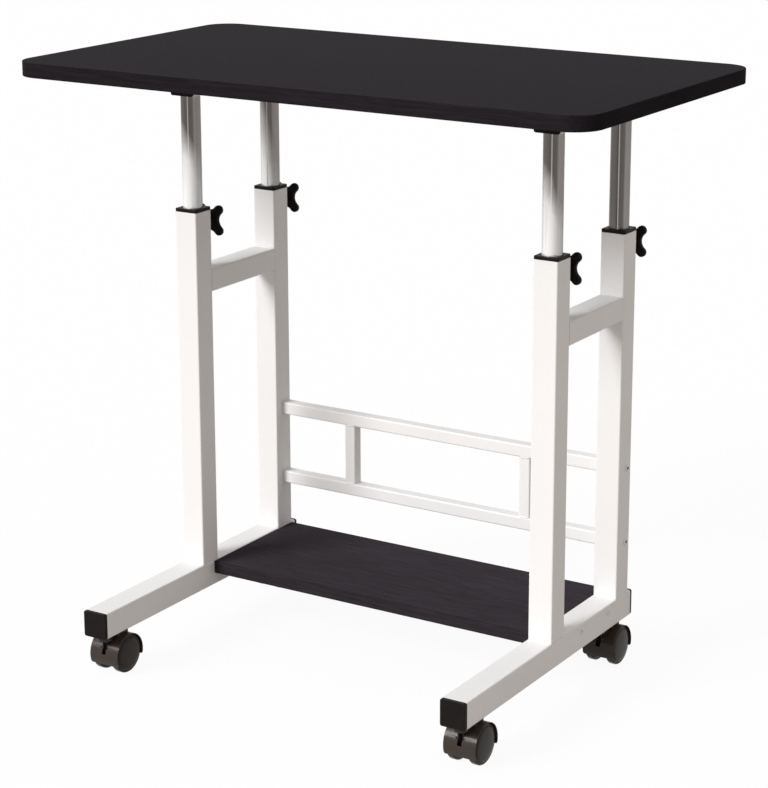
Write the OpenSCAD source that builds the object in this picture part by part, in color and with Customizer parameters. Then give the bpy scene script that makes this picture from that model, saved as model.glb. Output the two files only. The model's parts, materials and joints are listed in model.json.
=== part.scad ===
// Height-adjustable desk on casters, in millimetres, +Z up, front edge towards -Y.
// Two welded side frames carry a shelf and a back panel; four chromed tubes slide in
// the posts and carry the board; a lobed clamp knob behind each post holds the height.

/* [Desk board] */
// length of the desk board, left to right
board_length = 800; // [640:10:1000]
// depth of the desk board, front to back
board_depth = 445; // [400:5:600]
// thickness of the desk board
board_thickness = 18.5; // [15:0.5:25]
// radius of the desk board's corners
board_corner = 37; // [10:1:60]
// thickness of the plastic edge band on both boards
band_thickness = 1; // [0.5:0.1:2]
// distance of the board's front edge behind the front of the feet
board_setback = 42.2; // [0:0.2:80]

/* [Side frames] */
// distance between the middles of the two side frames
frame_span = 524; // [460:1:580]
// side of the square post tube
post_size = 33; // [31.4:0.2:36]
// side of the square foot tube
foot_size = 34; // [32:0.5:40]
// wall thickness of the post, foot and rail tubes
tube_wall = 1.2; // [1:0.1:1.4]
// outer corner radius of the square tubes
tube_corner = 2; // [1.6:0.1:3]
// length of a foot tube without its end caps
foot_length = 420.8; // [416:0.2:440]
// length of a post above the foot
post_length = 477.8; // [440:0.2:540]
// distance of the front post's middle behind the front of the feet
front_post_place = 226.8; // [180:0.1:230]
// distance between the middles of the front and rear posts
post_spacing = 175.4; // [160:0.1:180]
// height of the rail that joins two posts of one side
side_rail_height = 30; // [20:1:40]
// distance of that rail's top below the post's top
side_rail_drop = 79.2; // [60:0.2:120]

/* [End caps] */
// thickness of an end cap's visible plate on the feet
foot_cap_plate = 4.5; // [2:0.5:5]
// thickness of an end cap's visible plate on the top rails
rail_cap_plate = 2.5; // [2:0.5:4]
// length of an end cap's plug inside its tube
cap_plug = 3.4; // [3:0.2:3.8]
// wall thickness of an end cap's plug
cap_plug_wall = 2; // [1.5:0.1:3]

/* [Back panel] */
// side of the square tube of the two cross bars
bar_size = 17; // [15:0.5:18]
// distance of the bars' rear faces in front of the posts' rear faces
bar_inset = 3; // [1:0.5:6]
// side of the square tube of the two struts
strut_size = 16; // [12:0.5:17]
// wall thickness of the bars and struts
bar_wall = 1.2; // [1:0.1:1.5]
// height of the lower bar's middle above the feet
lower_bar_rise = 72; // [50:1:90]
// height of the upper bar's middle above the feet
upper_bar_rise = 171; // [150:1:180]
// distance between the middles of the two struts
strut_span = 270; // [120:2:380]
// length of the threaded plug in each bar end
bar_plug_length = 15; // [14:1:25]
// radius of the bolts that hold the bars
bar_bolt_radius = 3; // [2.5:0.1:3.5]
// radius of those bolts' heads
bar_bolt_head_radius = 4.5; // [4:0.1:6]
// height of those bolts' heads
bar_bolt_head_height = 1.6; // [1.2:0.2:4]

/* [Shelf] */
// depth of the shelf, front to back
shelf_depth = 183.8; // [150:0.2:184]
// thickness of the shelf
shelf_thickness = 17; // [12:0.5:18]
// distance of the shelf's rear edge in front of the posts' rear faces
shelf_rear_inset = 1.4; // [0:0.1:10]
// distance of the shelf's top below the top of the feet
shelf_sink = 0.7; // [0:0.1:3]
// distance between the two screws at one end of the shelf
shelf_screw_spacing = 73.6; // [50:0.2:120]
// radius of the shelf screws
shelf_screw_radius = 2.5; // [2:0.1:3]
// depth of those screws in the shelf
shelf_screw_grip = 26; // [15:1:40]
// radius of those screws' heads
shelf_screw_head_radius = 4.2; // [3.6:0.1:5]
// height of those screws' heads
shelf_screw_head_height = 1.4; // [1:0.1:3]

/* [Sliding tubes] */
// outer diameter of the sliding tubes
tube_diameter = 25.4; // [24:0.2:25.6]
// wall thickness of the sliding tubes
slide_tube_wall = 1.2; // [1:0.1:2]
// length of the sliding tubes
tube_length = 300; // [280:1:303]
// length of tube that shows between collar and top rail, as photographed
tube_exposed = 146.5; // [140:0.5:160]
// height of the rails under the desk board
top_rail_height = 36; // [30:1:40]
// radius of the bolts that hold the board
board_bolt_radius = 3; // [2.5:0.1:3.5]
// radius of those bolts' heads
board_bolt_head_radius = 5.5; // [4.5:0.1:6.5]
// height of those bolts' heads
board_bolt_head_height = 3; // [2:0.2:4]
// depth of those bolts in the board
board_bolt_grip = 12; // [8:0.5:13]
// distance of a board bolt from the middle of its nearest sliding tube
board_bolt_inset = 60; // [48:1:70]

/* [Collars and clamp knobs] */
// height of a collar's visible lip
collar_lip = 4.4; // [2:0.1:6]
// length of a collar's sleeve inside the post
collar_sleeve = 40; // [30:1:60]
// clearance round a sliding tube in its collar
slide_clearance = 0.1; // [0.05:0.01:0.3]
// distance of the knob's axis below the post's top
knob_drop = 18.5; // [14:0.5:20]
// radius of the clamp screw
stud_radius = 4; // [3:0.1:4.5]
// clearance round a screw in its thread
thread_clearance = 0.08; // [0.05:0.01:0.1]
// clearance round a screw that passes through a wall
hole_clearance = 0.3; // [0.2:0.05:0.4]
// gap between the clamp screw's tip and the sliding tube
stud_tip_gap = 0.2; // [0.1:0.05:0.3]
// radius of the welded round nut behind the post
nut_radius = 7; // [6:0.2:8]
// length of the welded round nut
nut_length = 8; // [6:0.5:10]
// gap between the nut and the knob's hub
hub_gap = 0.5; // [0.3:0.1:1]
// radius of the knob's hub
hub_radius = 8; // [6:0.2:9]
// length of the knob's hub
hub_length = 8.4; // [6:0.2:10]
// thickness of the knob's lobed head
knob_thickness = 6.8; // [5:0.2:9]
// distance of each lobe's middle from the knob's axis
lobe_reach = 19.6; // [16:0.2:20]
// radius of each lobe's round end
lobe_radius = 6.2; // [4.5:0.1:6.4]
// radius of the knob's round middle
knob_core_radius = 12.2; // [9:0.2:13]

/* [Casters] */
// height from the floor to the underside of the feet
caster_height = 56.7; // [55.5:0.1:60]
// diameter of a caster wheel
wheel_diameter = 50.6; // [48:0.2:51]
// width of one wheel of a pair
wheel_width = 12.6; // [11:0.1:14]
// gap between the two wheels of a pair
wheel_spacing = 18; // [16:0.5:20]
// rounding of a wheel's outer edge
wheel_outer_round = 2.4; // [1:0.1:4]
// rounding of a wheel's inner edge
wheel_inner_round = 3; // [1:0.1:5]
// radius of the shallow dome on a wheel's outer face
wheel_dome_radius = 170; // [120:5:300]
// thickness of the wheel's outer wall beyond the axle
wheel_outer_wall = 4; // [3:0.1:6]
// radius of a caster's axle
axle_radius = 3; // [2.5:0.1:3.5]
// running clearance round the axle
axle_clearance = 0.06; // [0.03:0.01:0.1]
// gap at the ends of the axle and beside the hood's middle web
caster_side_gap = 0.3; // [0.2:0.05:0.5]
// distance of the axle behind the swivel axis
caster_trail = 22.3; // [21:0.1:24]
// gap between wheel tread and hood
hood_gap = 0.4; // [0.3:0.05:0.8]
// thickness of the hood
hood_wall = 1.1; // [0.8:0.05:1.4]
// how far the hood's edge stands out beside the wheels
hood_overhang = 0.3; // [0.2:0.1:3]
// height of the hood's front edge above the floor
hood_front_height = 14; // [8:0.5:18]
// height of the hood's rear edge above the floor
hood_rear_height = 17; // [14:0.5:24]
// width of the saddle on top of the hood
saddle_width = 26; // [16:0.5:34]
// reach of the saddle behind the axle
saddle_reach = 9.5; // [6:0.5:14]
// gap between the saddle and the foot
saddle_gap = 1.6; // [1:0.1:2.4]
// radius of the hood's neck
neck_radius = 10; // [8:0.1:10.4]
// height of the neck's lower edge above the floor
neck_bottom = 47.4; // [45:0.1:49]
// radius of the socket below the neck
socket_radius = 4.8; // [4.2:0.1:5.6]
// radius of the stem's flange under the foot
flange_radius = 10.4; // [9:0.1:11]
// thickness of the stem's flange
flange_thickness = 4; // [3:0.1:4.6]
// running gap between flange and neck
neck_gap = 0.3; // [0.2:0.05:0.5]
// radius of the caster's stem in the foot
stem_radius = 4; // [3.5:0.1:4.5]
// radius of the stem's pin in the hood
pin_radius = 3; // [2.5:0.1:3.4]
// running clearance round that pin
pin_clearance = 0.06; // [0.03:0.01:0.1]
// depth of the pin in the hood
pin_depth = 20; // [12:0.5:22]
// length of the stem above the underside of the foot
stem_rise = 14; // [12:0.5:20]
// height of the nut that holds the stem
stem_nut_height = 6.5; // [5:0.5:8]
// width of that nut across its flats
stem_nut_width = 13; // [12:0.5:13]
// width of the slot in the hood's front
hood_slot_width = 5.6; // [3:0.1:6]
// height of that slot's lower end above the floor
hood_slot_bottom = 28.8; // [26:0.2:32]
// distance of the front stems behind the front of the feet
front_stem_place = 20; // [15:0.1:40]
// distance of the rear stems behind the front of the feet
rear_stem_place = 373; // [350:0.1:385]

/* [Hidden] */
$fn = 48;
left = -1;
right = 1;
quarter = 90;
flat_cos = cos(30);
cut = 1;

// heights above the floor
foot_top = caster_height + foot_size;
post_top = foot_top + post_length;
collar_top = post_top + collar_lip;
top_rail_bottom = collar_top + tube_exposed;
board_bottom = top_rail_bottom + top_rail_height;
board_top = board_bottom + board_thickness;
knob_height = post_top - knob_drop;
lower_bar_height = foot_top + lower_bar_rise;
upper_bar_height = foot_top + upper_bar_rise;
shelf_top = foot_top - shelf_sink;
shelf_middle_height = shelf_top - shelf_thickness / 2;

// distances behind the front of the feet
foot_total = foot_length + 2 * foot_cap_plate;
rear_post_place = front_post_place + post_spacing;
posts_front = front_post_place - post_size / 2;
posts_rear = rear_post_place + post_size / 2;
bar_place = posts_rear - bar_inset - bar_size / 2;
shelf_rear = posts_rear - shelf_rear_inset;
shelf_middle = shelf_rear - shelf_depth / 2;
board_rear = board_setback + board_depth;
middle_y = (min(0, board_setback) + max(board_rear, foot_total)) / 2;

// shared sizes
inner_gap = frame_span - post_size;
shelf_length = frame_span - foot_size;
wheel_radius = wheel_diameter / 2;
hood_inner = wheel_radius + hood_gap;
hood_outer = hood_inner + hood_wall;
wheel_inner_x = wheel_spacing / 2;
wheel_outer_x = wheel_inner_x + wheel_width;
hood_half = wheel_outer_x + hood_overhang;
web_half = wheel_inner_x - caster_side_gap;
axle_half = wheel_outer_x - wheel_outer_wall;
neck_top = caster_height - flange_thickness - neck_gap;
knob_front = post_size / 2 + nut_length + hub_gap;
head_front = knob_front + hub_length;
head_rear = head_front + knob_thickness;
stud_tip = tube_diameter / 2 + stud_tip_gap;

white_paint = [0.93, 0.92, 0.9];
black_board = [0.1, 0.1, 0.11];
black_plastic = [0.07, 0.07, 0.07];
smoke_plastic = [0.22, 0.21, 0.2];
chrome_steel = [0.75, 0.76, 0.78];
zinc_steel = [0.6, 0.6, 0.62];

// every part is drawn with y measured from the front of the feet, then moved as one
module placed() {
  translate([0, -middle_y, 0]) children();
}

module rounded_rect(width, depth, corner) {
  square([width, depth - 2 * corner], center = true);
  square([width - 2 * corner, depth], center = true);
  for (sx = [left, right], sy = [left, right])
    translate([sx * (width / 2 - corner), sy * (depth / 2 - corner)]) circle(r = corner);
}

module tube_section(width, depth, corner, wall) {
  difference() {
    rounded_rect(width, depth, corner);
    rounded_rect(width - 2 * wall, depth - 2 * wall, corner - wall);
  }
}

// lays an upright extrusion along +Y
module along_y() {
  rotate([-quarter, 0, 0]) children();
}

// lays an upright extrusion along +X
module along_x() {
  rotate([0, quarter, 0]) children();
}

module at_stems(side) {
  for (place = [front_stem_place, rear_stem_place])
    translate([side * frame_span / 2, place, 0]) children();
}

module at_shelf_screws(side) {
  for (step = [left, right])
    translate([side * frame_span / 2, shelf_middle + step * shelf_screw_spacing / 2,
      shelf_middle_height]) children();
}

module at_posts() {
  for (side = [left, right], place = [front_post_place, rear_post_place])
    translate([side * frame_span / 2, place, 0]) children();
}

module at_bar_bolts(side) {
  for (height = [lower_bar_height, upper_bar_height])
    translate([side * frame_span / 2, bar_place, height]) children();
}

// feet

module foot(side) {
  difference() {
    translate([side * frame_span / 2, foot_cap_plate, caster_height + foot_size / 2])
      along_y() linear_extrude(foot_length)
        tube_section(foot_size, foot_size, tube_corner, tube_wall);
    at_stems(side) translate([0, 0, caster_height - cut])
      cylinder(r = stem_radius + hole_clearance, h = tube_wall + 2 * cut);
    at_shelf_screws(side) translate([-foot_size / 2 - cut, 0, 0])
      along_x() cylinder(r = shelf_screw_radius + hole_clearance, h = foot_size + 2 * cut);
  }
}

module end_cap(width, height, plate) {
  difference() {
    union() {
      linear_extrude(plate) rounded_rect(width, height, tube_corner);
      translate([0, 0, plate]) linear_extrude(cap_plug)
        rounded_rect(width - 2 * tube_wall, height - 2 * tube_wall, tube_corner);
    }
    translate([0, 0, plate]) linear_extrude(cap_plug + cut)
      square([width - 2 * (tube_wall + cap_plug_wall), height - 2 * (tube_wall + cap_plug_wall)],
        center = true);
  }
}

// a pair of caps closes both ends of a tube that runs from start to finish
module cap_pair(start, finish, width, height, plate) {
  translate([0, start, 0]) along_y() end_cap(width, height, plate);
  translate([0, finish, 0]) mirror([0, 1, 0]) along_y() end_cap(width, height, plate);
}

module foot_left() {
  placed() color(white_paint) foot(left);
}

module foot_right() {
  placed() color(white_paint) foot(right);
}

module foot_caps() {
  placed() color(black_plastic) for (side = [left, right])
    translate([side * frame_span / 2, 0, caster_height + foot_size / 2])
      cap_pair(0, foot_total, foot_size, foot_size, foot_cap_plate);
}

// posts

module post(side, place) {
  difference() {
    translate([side * frame_span / 2, place, foot_top]) linear_extrude(post_length)
      tube_section(post_size, post_size, tube_corner, tube_wall);
    translate([side * frame_span / 2, place, knob_height]) along_y()
      cylinder(r = stud_radius + hole_clearance, h = post_size);
    if (place == rear_post_place) at_bar_bolts(side) translate([-post_size / 2 - cut, 0, 0])
      along_x() cylinder(r = bar_bolt_radius + hole_clearance, h = post_size + 2 * cut);
  }
}

module post_front_left() {
  placed() color(white_paint) post(left, front_post_place);
}

module post_front_right() {
  placed() color(white_paint) post(right, front_post_place);
}

module post_rear_left() {
  placed() color(white_paint) post(left, rear_post_place);
}

module post_rear_right() {
  placed() color(white_paint) post(right, rear_post_place);
}

module side_rail(side) {
  translate([side * frame_span / 2, front_post_place + post_size / 2,
    post_top - side_rail_drop - side_rail_height / 2])
    along_y() linear_extrude(post_spacing - post_size)
      tube_section(post_size, side_rail_height, tube_corner, tube_wall);
}

module side_rail_left() {
  placed() color(white_paint) side_rail(left);
}

module side_rail_right() {
  placed() color(white_paint) side_rail(right);
}

// collars and clamp nuts

module collar() {
  difference() {
    union() {
      translate([0, 0, post_top]) linear_extrude(collar_lip)
        rounded_rect(post_size, post_size, tube_corner);
      translate([0, 0, post_top - collar_sleeve]) linear_extrude(collar_sleeve)
        rounded_rect(post_size - 2 * tube_wall, post_size - 2 * tube_wall, tube_corner);
    }
    translate([0, 0, post_top - collar_sleeve - cut])
      cylinder(r = tube_diameter / 2 + slide_clearance, h = collar_sleeve + collar_lip + 2 * cut);
    translate([0, 0, knob_height]) along_y()
      cylinder(r = stud_radius + hole_clearance, h = post_size);
  }
}

module guide_collars() {
  placed() color(black_plastic) at_posts() collar();
}

module clamp_nuts() {
  placed() color(white_paint) at_posts() translate([0, post_size / 2, knob_height])
    along_y() difference() {
      cylinder(r = nut_radius, h = nut_length);
      translate([0, 0, -cut])
        cylinder(r = stud_radius + thread_clearance, h = nut_length + 2 * cut);
    }
}

// back panel

module back_bar(height) {
  translate([-inner_gap / 2, bar_place, height]) along_x() linear_extrude(inner_gap)
    tube_section(bar_size, bar_size, tube_corner, bar_wall);
}

module back_bar_upper() {
  placed() color(white_paint) back_bar(upper_bar_height);
}

module back_bar_lower() {
  placed() color(white_paint) back_bar(lower_bar_height);
}

module back_strut(side) {
  translate([side * strut_span / 2, bar_place, lower_bar_height + bar_size / 2])
    linear_extrude(upper_bar_height - lower_bar_height - bar_size)
      tube_section(strut_size, strut_size, tube_corner, bar_wall);
}

module back_strut_left() {
  placed() color(white_paint) back_strut(left);
}

module back_strut_right() {
  placed() color(white_paint) back_strut(right);
}

module bar_plugs() {
  placed() color(black_plastic) for (side = [left, right])
    at_bar_bolts(side) rotate([0, 0, side > 0 ? 0 : 2 * quarter])
      translate([-post_size / 2 - bar_plug_length, 0, 0]) along_x() difference() {
        linear_extrude(bar_plug_length)
          rounded_rect(bar_size - 2 * bar_wall, bar_size - 2 * bar_wall, tube_corner);
        translate([0, 0, -cut])
          cylinder(r = bar_bolt_radius + thread_clearance, h = bar_plug_length + 2 * cut);
      }
}

module bar_bolts() {
  placed() color(zinc_steel) for (side = [left, right])
    at_bar_bolts(side) rotate([0, 0, side > 0 ? 0 : 2 * quarter]) along_x() difference() {
      union() {
        translate([0, 0, -post_size / 2 - bar_plug_length])
          cylinder(r = bar_bolt_radius, h = post_size + bar_plug_length);
        translate([0, 0, post_size / 2])
          cylinder(r = bar_bolt_head_radius, h = bar_bolt_head_height);
      }
      translate([0, 0, post_size / 2 + bar_bolt_head_height / 3])
        cylinder(r = bar_bolt_radius * 2 / 3, h = bar_bolt_head_height, $fn = 6);
    }
}

// shelf

module shelf_board() {
  placed() color(black_board) difference() {
    translate([-shelf_length / 2, shelf_rear - shelf_depth + band_thickness,
      shelf_top - shelf_thickness])
      cube([shelf_length, shelf_depth - 2 * band_thickness, shelf_thickness]);
    for (side = [left, right]) at_shelf_screws(side)
      translate([-foot_size / 2 - shelf_screw_grip, 0, 0]) along_x()
        cylinder(r = shelf_screw_radius + thread_clearance, h = foot_size + 2 * shelf_screw_grip);
  }
}

module shelf_edge_band() {
  placed() color(black_board) for (start = [shelf_rear - shelf_depth, shelf_rear - band_thickness])
    translate([-shelf_length / 2, start, shelf_top - shelf_thickness])
      cube([shelf_length, band_thickness, shelf_thickness]);
}

module shelf_screws() {
  placed() color(white_paint) for (side = [left, right])
    at_shelf_screws(side) rotate([0, 0, side > 0 ? 0 : 2 * quarter]) along_x() {
      translate([0, 0, -foot_size / 2 - shelf_screw_grip])
        cylinder(r = shelf_screw_radius, h = foot_size + shelf_screw_grip);
      translate([0, 0, foot_size / 2])
        cylinder(r = shelf_screw_head_radius, h = shelf_screw_head_height);
    }
}

// desk board with its rails and sliding tubes

module desk_board() {
  placed() color(black_board) difference() {
    translate([0, board_setback + board_depth / 2, board_bottom])
      linear_extrude(board_thickness)
        rounded_rect(board_length - 2 * band_thickness, board_depth - 2 * band_thickness,
          board_corner - band_thickness);
    at_board_bolts() translate([0, 0, board_bottom - cut])
      cylinder(r = board_bolt_radius + thread_clearance, h = board_bolt_grip + cut);
  }
}

module desk_edge_band() {
  placed() color(black_board)
    translate([0, board_setback + board_depth / 2, board_bottom])
      linear_extrude(board_thickness)
        tube_section(board_length, board_depth, board_corner, band_thickness);
}

module at_board_bolts() {
  for (side = [left, right],
      place = [front_post_place + board_bolt_inset, rear_post_place - board_bolt_inset])
    translate([side * frame_span / 2, place, 0]) children();
}

module top_rail(side) {
  difference() {
    translate([side * frame_span / 2, posts_front, top_rail_bottom + top_rail_height / 2])
      along_y() linear_extrude(posts_rear - posts_front)
        tube_section(foot_size, top_rail_height, tube_corner, tube_wall);
    at_board_bolts() translate([0, 0, top_rail_bottom - cut])
      cylinder(r = board_bolt_radius + hole_clearance, h = top_rail_height + 2 * cut);
  }
}

module top_rail_left() {
  placed() color(white_paint) top_rail(left);
}

module top_rail_right() {
  placed() color(white_paint) top_rail(right);
}

module top_rail_caps() {
  placed() color(black_plastic) for (side = [left, right])
    translate([side * frame_span / 2, 0, top_rail_bottom + top_rail_height / 2])
      cap_pair(posts_front - rail_cap_plate, posts_rear + rail_cap_plate,
        foot_size, top_rail_height, rail_cap_plate);
}

module slide_tube(side, place) {
  translate([side * frame_span / 2, place, top_rail_bottom - tube_length]) difference() {
    cylinder(r = tube_diameter / 2, h = tube_length);
    translate([0, 0, -cut])
      cylinder(r = tube_diameter / 2 - slide_tube_wall, h = tube_length + 2 * cut);
  }
}

module slide_tube_front_left() {
  placed() color(chrome_steel) slide_tube(left, front_post_place);
}

module slide_tube_front_right() {
  placed() color(chrome_steel) slide_tube(right, front_post_place);
}

module slide_tube_rear_left() {
  placed() color(chrome_steel) slide_tube(left, rear_post_place);
}

module slide_tube_rear_right() {
  placed() color(chrome_steel) slide_tube(right, rear_post_place);
}

module board_bolts() {
  placed() color(zinc_steel) at_board_bolts() {
    translate([0, 0, top_rail_bottom])
      cylinder(r = board_bolt_radius, h = top_rail_height + board_bolt_grip);
    translate([0, 0, top_rail_bottom - board_bolt_head_height])
      cylinder(r = board_bolt_head_radius, h = board_bolt_head_height);
  }
}

// clamp knobs

// outline of one tapering arm, tangent to the core and to its lobe
module knob_arm() {
  lean = asin((knob_core_radius - lobe_radius) / lobe_reach);
  polygon([
    [knob_core_radius * sin(lean), -knob_core_radius * cos(lean)],
    [lobe_reach + lobe_radius * sin(lean), -lobe_radius * cos(lean)],
    [lobe_reach + lobe_radius * sin(lean), lobe_radius * cos(lean)],
    [knob_core_radius * sin(lean), knob_core_radius * cos(lean)]
  ]);
  translate([lobe_reach, 0]) circle(r = lobe_radius);
}

module knob(side, place) {
  translate([side * frame_span / 2, place, knob_height]) along_y() difference() {
    union() {
      translate([0, 0, knob_front]) cylinder(r = hub_radius, h = hub_length + cut);
      translate([0, 0, head_front]) linear_extrude(knob_thickness) {
        circle(r = knob_core_radius);
        for (arm = [0 : 3]) rotate(quarter / 2 + arm * quarter) knob_arm();
      }
    }
    translate([0, 0, knob_front - cut])
      cylinder(r = stud_radius + thread_clearance, h = hub_length + knob_thickness / 2 + cut);
  }
}

module stud(side, place) {
  translate([side * frame_span / 2, place + stud_tip, knob_height]) along_y()
    cylinder(r = stud_radius, h = knob_front + hub_length + knob_thickness / 2 - stud_tip);
}

module knob_front_left() {
  placed() color(black_plastic) knob(left, front_post_place);
}

module knob_front_right() {
  placed() color(black_plastic) knob(right, front_post_place);
}

module knob_rear_left() {
  placed() color(black_plastic) knob(left, rear_post_place);
}

module knob_rear_right() {
  placed() color(black_plastic) knob(right, rear_post_place);
}

module stud_front_left() {
  placed() color(zinc_steel) stud(left, front_post_place);
}

module stud_front_right() {
  placed() color(zinc_steel) stud(right, front_post_place);
}

module stud_rear_left() {
  placed() color(zinc_steel) stud(left, rear_post_place);
}

module stud_rear_right() {
  placed() color(zinc_steel) stud(right, rear_post_place);
}

// casters

module caster_stems() {
  placed() color(zinc_steel) for (side = [left, right]) at_stems(side) {
    translate([0, 0, neck_top - pin_depth])
      cylinder(r = pin_radius, h = pin_depth + flange_thickness);
    translate([0, 0, caster_height - flange_thickness])
      cylinder(r = flange_radius, h = flange_thickness);
    translate([0, 0, caster_height - flange_thickness])
      cylinder(r = stem_radius, h = flange_thickness + stem_rise);
  }
}

module stem_nuts() {
  placed() color(zinc_steel) for (side = [left, right]) at_stems(side)
    translate([0, 0, caster_height + tube_wall]) difference() {
      cylinder(r = stem_nut_width / 2 / flat_cos, h = stem_nut_height, $fn = 6);
      translate([0, 0, -cut])
        cylinder(r = stem_radius + thread_clearance, h = stem_nut_height + 2 * cut);
    }
}

// a disc across the caster, centred on the axle
module axle_disc(radius, half) {
  translate([-half, caster_trail, wheel_radius]) along_x() cylinder(r = radius, h = 2 * half);
}

// the space a wheel turns in, open to the outside
module wheel_pocket(side) {
  translate([side * web_half, caster_trail, wheel_radius]) rotate([0, side * quarter, 0])
    cylinder(r = hood_inner, h = wheel_width + hood_overhang + 2 * cut);
}

// removes the hood below a height, from a distance behind the swivel axis to another
module trim_below(start, finish, height) {
  translate([-hood_half - cut, start, -hood_outer])
    cube([2 * (hood_half + cut), finish - start, height + hood_outer]);
}

module hood() {
  saddle_front = flange_radius + saddle_gap;
  web_front = caster_trail - 2 * axle_radius;
  web_rear = caster_trail + 3 * axle_radius;
  difference() {
    union() {
      axle_disc(hood_outer, hood_half);
      translate([0, 0, neck_bottom]) cylinder(r = neck_radius, h = neck_top - neck_bottom);
      translate([0, 0, hood_slot_bottom])
        cylinder(r = socket_radius, h = neck_top - hood_slot_bottom);
      translate([-saddle_width / 2, saddle_front, wheel_radius])
        cube([saddle_width, caster_trail + saddle_reach - saddle_front,
          caster_height - saddle_gap - wheel_radius]);
    }
    wheel_pocket(left);
    wheel_pocket(right);
    trim_below(-hood_outer, web_front, hood_front_height);
    trim_below(web_front - cut, web_rear, wheel_radius - 2 * axle_radius);
    trim_below(web_rear - cut, caster_trail + hood_outer + cut, hood_rear_height);
    translate([0, 0, neck_top - pin_depth - neck_gap])
      cylinder(r = pin_radius + pin_clearance, h = pin_depth + neck_gap + cut);
    axle_disc(axle_radius + axle_clearance, web_half + cut);
    translate([-hood_slot_width / 2, -hood_outer, hood_slot_bottom])
      cube([hood_slot_width, hood_outer - pin_radius / 2, neck_bottom - hood_slot_bottom]);
  }
}

// half of a wheel's section, with the axle along the second axis
module wheel_section() {
  intersection() {
    union() {
      square([wheel_radius - wheel_inner_round, wheel_inner_round]);
      translate([0, wheel_inner_round])
        square([wheel_radius, wheel_width - wheel_inner_round - wheel_outer_round]);
      translate([0, wheel_width - wheel_outer_round])
        square([wheel_radius - wheel_outer_round, wheel_outer_round]);
      translate([wheel_radius - wheel_inner_round, wheel_inner_round])
        circle(r = wheel_inner_round);
      translate([wheel_radius - wheel_outer_round, wheel_width - wheel_outer_round])
        circle(r = wheel_outer_round);
    }
    translate([0, wheel_width - wheel_dome_radius]) circle(r = wheel_dome_radius, $fn = 360);
    square([wheel_radius, wheel_width]);
  }
}

// a wheel on the given side of its caster, +1 towards +X
module wheel(side) {
  translate([side * wheel_inner_x, caster_trail, wheel_radius])
    rotate([0, side * quarter, 0]) difference() {
      rotate_extrude($fn = 96) wheel_section();
      translate([0, 0, -cut]) cylinder(r = axle_radius + axle_clearance,
        h = axle_half - wheel_inner_x + caster_side_gap + cut);
    }
}

module axle() {
  axle_disc(axle_radius, axle_half);
}

module at_caster(side, place) {
  placed() translate([side * frame_span / 2, place, 0]) children();
}

module hood_front_left() {
  at_caster(left, front_stem_place) color(smoke_plastic) hood();
}

module hood_front_right() {
  at_caster(right, front_stem_place) color(smoke_plastic) hood();
}

module hood_rear_left() {
  at_caster(left, rear_stem_place) color(smoke_plastic) hood();
}

module hood_rear_right() {
  at_caster(right, rear_stem_place) color(smoke_plastic) hood();
}

module axle_front_left() {
  at_caster(left, front_stem_place) color(zinc_steel) axle();
}

module axle_front_right() {
  at_caster(right, front_stem_place) color(zinc_steel) axle();
}

module axle_rear_left() {
  at_caster(left, rear_stem_place) color(zinc_steel) axle();
}

module axle_rear_right() {
  at_caster(right, rear_stem_place) color(zinc_steel) axle();
}

module wheel_front_left_outer() {
  at_caster(left, front_stem_place) color(smoke_plastic) wheel(left);
}

module wheel_front_left_inner() {
  at_caster(left, front_stem_place) color(smoke_plastic) wheel(right);
}

module wheel_front_right_inner() {
  at_caster(right, front_stem_place) color(smoke_plastic) wheel(left);
}

module wheel_front_right_outer() {
  at_caster(right, front_stem_place) color(smoke_plastic) wheel(right);
}

module wheel_rear_left_outer() {
  at_caster(left, rear_stem_place) color(smoke_plastic) wheel(left);
}

module wheel_rear_left_inner() {
  at_caster(left, rear_stem_place) color(smoke_plastic) wheel(right);
}

module wheel_rear_right_inner() {
  at_caster(right, rear_stem_place) color(smoke_plastic) wheel(left);
}

module wheel_rear_right_outer() {
  at_caster(right, rear_stem_place) color(smoke_plastic) wheel(right);
}

foot_left();
foot_right();
foot_caps();
post_front_left();
post_front_right();
post_rear_left();
post_rear_right();
side_rail_left();
side_rail_right();
guide_collars();
clamp_nuts();
back_bar_upper();
back_bar_lower();
back_strut_left();
back_strut_right();
bar_plugs();
bar_bolts();
shelf_board();
shelf_edge_band();
shelf_screws();
caster_stems();
stem_nuts();
desk_board();
desk_edge_band();
top_rail_left();
top_rail_right();
top_rail_caps();
slide_tube_front_left();
slide_tube_front_right();
slide_tube_rear_left();
slide_tube_rear_right();
board_bolts();
knob_front_left();
knob_front_right();
knob_rear_left();
knob_rear_right();
stud_front_left();
stud_front_right();
stud_rear_left();
stud_rear_right();
hood_front_left();
hood_front_right();
hood_rear_left();
hood_rear_right();
axle_front_left();
axle_front_right();
axle_rear_left();
axle_rear_right();
wheel_front_left_outer();
wheel_front_left_inner();
wheel_front_right_inner();
wheel_front_right_outer();
wheel_rear_left_outer();
wheel_rear_left_inner();
wheel_rear_right_inner();
wheel_rear_right_outer();
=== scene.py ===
# Height-adjustable rolling desk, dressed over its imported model
import json
import math

import bmesh
import bpy
from mathutils import Matrix, Vector


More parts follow.
